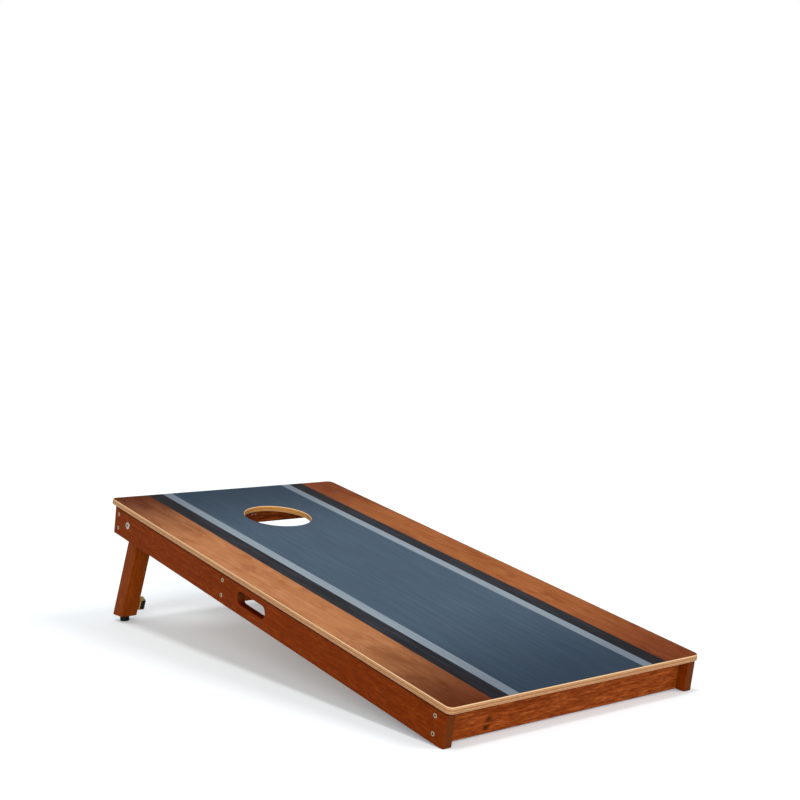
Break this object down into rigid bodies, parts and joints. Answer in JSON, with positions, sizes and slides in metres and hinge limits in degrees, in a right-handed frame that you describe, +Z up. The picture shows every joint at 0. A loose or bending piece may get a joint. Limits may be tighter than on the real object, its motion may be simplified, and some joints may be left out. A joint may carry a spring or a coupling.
{
  "type": "cornhole board",
  "caption": "Sloped bag-toss game board: a plywood deck with a round hole near its raised edge on a boxed wooden frame with hand slots and folding legs.",
  "frame": {"origin": "on the floor, under the middle of the whole object's box", "axes": "+X across the board to the right, +Y from the low front edge to the raised back edge, +Z up"},
  "size_m": [0.6096, 1.243, 0.2909],
  "materials": {
    "deck_board": "painted stripes over stained plywood, satin, pale plywood edges",
    "stained_wood": "red-brown stain, satin",
    "screw_steel": "zinc plated",
    "bolt_steel": "nickel plated",
    "brass": "yellow plated",
    "magnet": "matt black",
    "rubber": "matt black"
  },
  "bodies": {
    "frame": {"deck": "deck_board", "rail_left": "stained_wood", "rail_right": "stained_wood", "front_apron": "stained_wood", "centre_brace": "stained_wood", "back_apron": "stained_wood", "frame_screw_left_front_upper": "screw_steel", "frame_screw_left_front_lower": "screw_steel", "frame_screw_left_middle_upper": "screw_steel", "frame_screw_left_middle_lower": "screw_steel", "frame_screw_left_back_upper": "screw_steel", "frame_screw_left_back_lower": "screw_steel", "frame_screw_right_front_upper": "screw_steel", "frame_screw_right_front_lower": "screw_steel", "frame_screw_right_middle_upper": "screw_steel", "frame_screw_right_middle_lower": "screw_steel", "frame_screw_right_back_upper": "screw_steel", "frame_screw_right_back_lower": "screw_steel", "pocket_screw_front_left": "screw_steel", "pocket_screw_front_right": "screw_steel", "pocket_screw_back_left": "screw_steel", "pocket_screw_back_right": "screw_steel", "pocket_screw_left_near": "screw_steel", "pocket_screw_left_far": "screw_steel", "pocket_screw_right_near": "screw_steel", "pocket_screw_right_far": "screw_steel", "face_screw_a": "screw_steel", "face_screw_b": "screw_steel", "pivot_bolt_left": "bolt_steel", "pivot_spacer_left": "bolt_steel", "pivot_washer_left": "bolt_steel", "pivot_nut_left": "bolt_steel", "strike_plate_left": "screw_steel", "strike_screw_left": "screw_steel", "pivot_bolt_right": "bolt_steel", "pivot_spacer_right": "bolt_steel", "pivot_washer_right": "bolt_steel", "pivot_nut_right": "bolt_steel", "strike_plate_right": "screw_steel", "strike_screw_right": "screw_steel"},
    "leg_left": {"leg_left": "stained_wood", "foot_left": "rubber", "foot_screw_left": "screw_steel", "catch_bracket_left": "brass", "catch_magnet_left": "magnet", "catch_screw_left": "screw_steel"},
    "leg_right": {"leg_right": "stained_wood", "foot_right": "rubber", "foot_screw_right": "screw_steel", "catch_bracket_right": "brass", "catch_magnet_right": "magnet", "catch_screw_right": "screw_steel"}
  },
  "joints": [
    {"name": "leg_left_fold", "type": "hinge", "parent": "frame", "child": "leg_left", "pos_m": [-0.2608, 0.49993, 0.23622], "axis": [-1, 0, 0], "range_deg": [0, 105]},
    {"name": "leg_right_fold", "type": "hinge", "parent": "frame", "child": "leg_right", "pos_m": [0.2608, 0.49993, 0.23622], "axis": [-1, 0, 0], "range_deg": [0, 105]}
  ]
}
